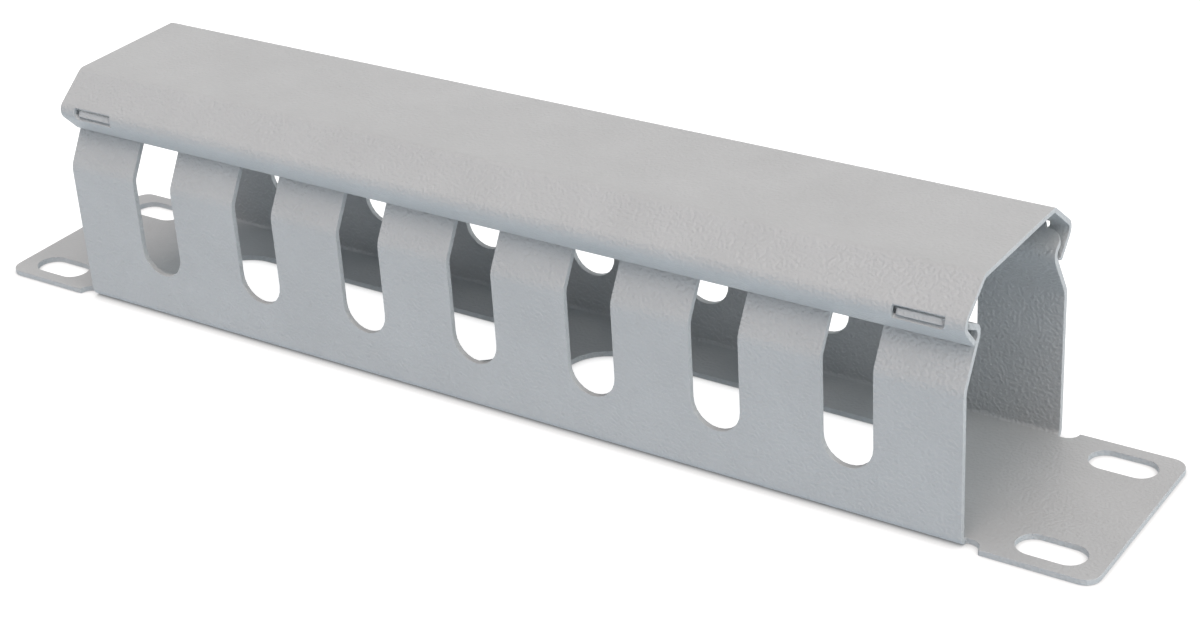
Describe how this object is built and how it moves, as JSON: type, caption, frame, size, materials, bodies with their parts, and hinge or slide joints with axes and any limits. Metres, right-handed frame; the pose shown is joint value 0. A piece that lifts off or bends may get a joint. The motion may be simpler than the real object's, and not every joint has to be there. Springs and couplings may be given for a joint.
{
  "type": "horizontal cable manager",
  "caption": "Slotted steel cable duct with a clip-over cover and slotted ears, for one rack unit of a 10-inch equipment rack.",
  "frame": {"origin": "middle of the back plate's underside, the face that meets the rack rails", "axes": "+X along the duct to the right, +Y across the rack unit to the rear side in the picture, +Z out from the rails towards the cover"},
  "size_m": [0.2576, 0.044, 0.0509],
  "materials": {
    "duct_paint": "light grey powder coat with a fine orange-peel texture",
    "cover_paint": "light grey powder coat with a fine orange-peel texture"
  },
  "bodies": {
    "duct": {"duct_body": "duct_paint"},
    "lid": {"cover": "cover_paint"}
  },
  "joints": [
    {"name": "cover_lift", "type": "slide", "parent": "duct", "child": "lid", "axis": [0, 0, 1], "range_m": [0, 0.07]}
  ]
}
